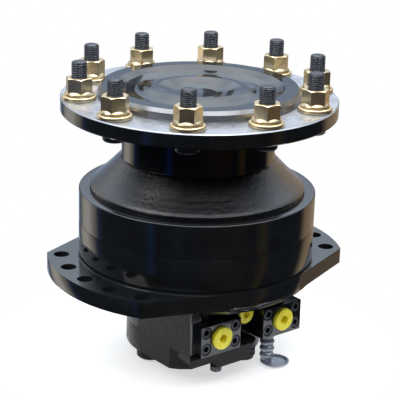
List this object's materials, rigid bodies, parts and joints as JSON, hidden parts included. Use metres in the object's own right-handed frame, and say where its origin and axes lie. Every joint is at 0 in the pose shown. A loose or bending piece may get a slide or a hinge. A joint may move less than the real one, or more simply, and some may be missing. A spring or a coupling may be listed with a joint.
{
  "type": "hydraulic wheel motor",
  "caption": "Radial piston hydraulic wheel motor: studded wheel flange on a conical bearing support, cam ring, lobed chassis plate, and a rear cover with two flanged, plugged ports.",
  "frame": {"origin": "centre of the chassis plate's rear face, on the shaft axis", "axes": "+Z along the shaft towards the wheel, +X through the middle of one lobe, the port faces look along -Y"},
  "size_m": [0.4218, 0.384, 0.4286],
  "materials": {
    "gloss_black": "glossy black paint",
    "cast_black": "black paint over a rough sand casting",
    "matte_black": "satin black paint",
    "flange_paint": "black paint with a bare machined face",
    "black_oxide": "blackened steel",
    "yellow_zinc": "yellow passivated zinc plate",
    "bright_steel": "ground steel",
    "bronze": "sintered bronze lining",
    "seal_rubber": "black nitrile rubber",
    "yellow_plastic": "yellow plastic",
    "grey_gloss": "glossy grey",
    "cage_steel": "pressed steel"
  },
  "bodies": {
    "housing": {"bearing_support": "cast_black", "cam_ring": "gloss_black", "rear_cover": "gloss_black", "assembly_screws": "black_oxide", "front_oring": "seal_rubber", "rear_oring": "seal_rubber", "shaft_seal": "seal_rubber", "front_bearing_cup": "bright_steel", "rear_bearing_cup": "bright_steel", "distributor": "bright_steel", "distributor_seals": "seal_rubber", "port_screws": "black_oxide", "port_plugs": "yellow_plastic", "middle_port_plug": "yellow_plastic", "gauge_plugs": "black_oxide", "brake_housing": "matte_black", "brake_screws": "black_oxide", "brake_stators": "bright_steel", "brake_spring": "bright_steel", "brake_cap": "matte_black", "foot_bellows": "grey_gloss", "foot_pad": "grey_gloss"},
    "shaft": {"drive_shaft": "flange_paint", "wheel_studs": "black_oxide", "wheel_nuts": "yellow_zinc", "nut_collars": "yellow_zinc", "front_bearing_cone": "bright_steel", "rear_bearing_cone": "bright_steel", "bearing_nut": "bright_steel", "cylinder_block": "bright_steel", "brake_shaft": "bright_steel", "brake_rotors": "bronze"},
    "front_roller_set": {"front_bearing_rollers": "bright_steel", "front_bearing_cage": "cage_steel"},
    "rear_roller_set": {"rear_bearing_rollers": "bright_steel", "rear_bearing_cage": "cage_steel"},
    "brake_piston": {"brake_piston": "bright_steel"},
    "piston_0": {"piston_0": "bright_steel"},
    "roller_0": {"roller_0": "bright_steel"},
    "piston_1": {"piston_1": "bright_steel"},
    "roller_1": {"roller_1": "bright_steel"},
    "piston_2": {"piston_2": "bright_steel"},
    "roller_2": {"roller_2": "bright_steel"},
    "piston_3": {"piston_3": "bright_steel"},
    "roller_3": {"roller_3": "bright_steel"},
    "piston_4": {"piston_4": "bright_steel"},
    "roller_4": {"roller_4": "bright_steel"},
    "piston_5": {"piston_5": "bright_steel"},
    "roller_5": {"roller_5": "bright_steel"},
    "piston_6": {"piston_6": "bright_steel"},
    "roller_6": {"roller_6": "bright_steel"},
    "piston_7": {"piston_7": "bright_steel"},
    "roller_7": {"roller_7": "bright_steel"},
    "piston_8": {"piston_8": "bright_steel"},
    "roller_8": {"roller_8": "bright_steel"},
    "piston_9": {"piston_9": "bright_steel"},
    "roller_9": {"roller_9": "bright_steel"}
  },
  "joints": [
    {"name": "shaft_turn", "type": "hinge", "parent": "housing", "child": "shaft", "pos_m": [0, 0, 0], "axis": [0, 0, 1], "continuous": true},
    {"name": "front_bearing_roll", "type": "hinge", "parent": "housing", "child": "front_roller_set", "pos_m": [0, 0, 0], "axis": [0, 0, 1], "continuous": true},
    {"name": "rear_bearing_roll", "type": "hinge", "parent": "housing", "child": "rear_roller_set", "pos_m": [0, 0, 0], "axis": [0, 0, 1], "continuous": true},
    {"name": "brake_release", "type": "slide", "parent": "housing", "child": "brake_piston", "axis": [0, 0, -1], "range_m": [0, 0.0015], "stiffness_N_per_m": 400000, "deforming": ["brake_spring"]},
    {"name": "piston_0_stroke", "type": "slide", "parent": "shaft", "child": "piston_0", "axis": [1, 0, 0], "range_m": [0, 0.0175]},
    {"name": "roller_0_spin", "type": "hinge", "parent": "piston_0", "child": "roller_0", "pos_m": [0.1045, 0, 0.0492], "axis": [0, 0, 1], "continuous": true},
    {"name": "piston_1_stroke", "type": "slide", "parent": "shaft", "child": "piston_1", "axis": [0.809, 0.5878, 0], "range_m": [0, 0.01232]},
    {"name": "roller_1_spin", "type": "hinge", "parent": "piston_1", "child": "roller_1", "pos_m": [0.08454, 0.06142, 0.0492], "axis": [0, 0, 1], "continuous": true},
    {"name": "piston_2_stroke", "type": "slide", "parent": "shaft", "child": "piston_2", "axis": [0.309, 0.9511, 0], "range_m": [0, 0.00393]},
    {"name": "roller_2_spin", "type": "hinge", "parent": "piston_2", "child": "roller_2", "pos_m": [0.03229, 0.09939, 0.0492], "axis": [0, 0, 1], "continuous": true},
    {"name": "piston_3_stroke", "type": "slide", "parent": "shaft", "child": "piston_3", "axis": [-0.309, 0.9511, 0], "range_m": [0, 0.00393]},
    {"name": "roller_3_spin", "type": "hinge", "parent": "piston_3", "child": "roller_3", "pos_m": [-0.03229, 0.09939, 0.0492], "axis": [0, 0, 1], "continuous": true},
    {"name": "piston_4_stroke", "type": "slide", "parent": "shaft", "child": "piston_4", "axis": [-0.809, 0.5878, 0], "range_m": [0, 0.01232]},
    {"name": "roller_4_spin", "type": "hinge", "parent": "piston_4", "child": "roller_4", "pos_m": [-0.08454, 0.06142, 0.0492], "axis": [0, 0, 1], "continuous": true},
    {"name": "piston_5_stroke", "type": "slide", "parent": "shaft", "child": "piston_5", "axis": [-1, 0, 0], "range_m": [0, 0.0175]},
    {"name": "roller_5_spin", "type": "hinge", "parent": "piston_5", "child": "roller_5", "pos_m": [-0.1045, 0, 0.0492], "axis": [0, 0, 1], "continuous": true},
    {"name": "piston_6_stroke", "type": "slide", "parent": "shaft", "child": "piston_6", "axis": [-0.809, -0.5878, 0], "range_m": [0, 0.01232]},
    {"name": "roller_6_spin", "type": "hinge", "parent": "piston_6", "child": "roller_6", "pos_m": [-0.08454, -0.06142, 0.0492], "axis": [0, 0, 1], "continuous": true},
    {"name": "piston_7_stroke", "type": "slide", "parent": "shaft", "child": "piston_7", "axis": [-0.309, -0.9511, 0], "range_m": [0, 0.00393]},
    {"name": "roller_7_spin", "type": "hinge", "parent": "piston_7", "child": "roller_7", "pos_m": [-0.03229, -0.09939, 0.0492], "axis": [0, 0, 1], "continuous": true},
    {"name": "piston_8_stroke", "type": "slide", "parent": "shaft", "child": "piston_8", "axis": [0.309, -0.9511, 0], "range_m": [0, 0.00393]},
    {"name": "roller_8_spin", "type": "hinge", "parent": "piston_8", "child": "roller_8", "pos_m": [0.03229, -0.09939, 0.0492], "axis": [0, 0, 1], "continuous": true},
    {"name": "piston_9_stroke", "type": "slide", "parent": "shaft", "child": "piston_9", "axis": [0.809, -0.5878, 0], "range_m": [0, 0.01232]},
    {"name": "roller_9_spin", "type": "hinge", "parent": "piston_9", "child": "roller_9", "pos_m": [0.08454, -0.06142, 0.0492], "axis": [0, 0, 1], "continuous": true}
  ],
  "couplings": [
    {"joint": "front_bearing_roll", "follows": "shaft_turn", "ratio": 0.45},
    {"joint": "rear_bearing_roll", "follows": "shaft_turn", "ratio": 0.45}
  ]
}
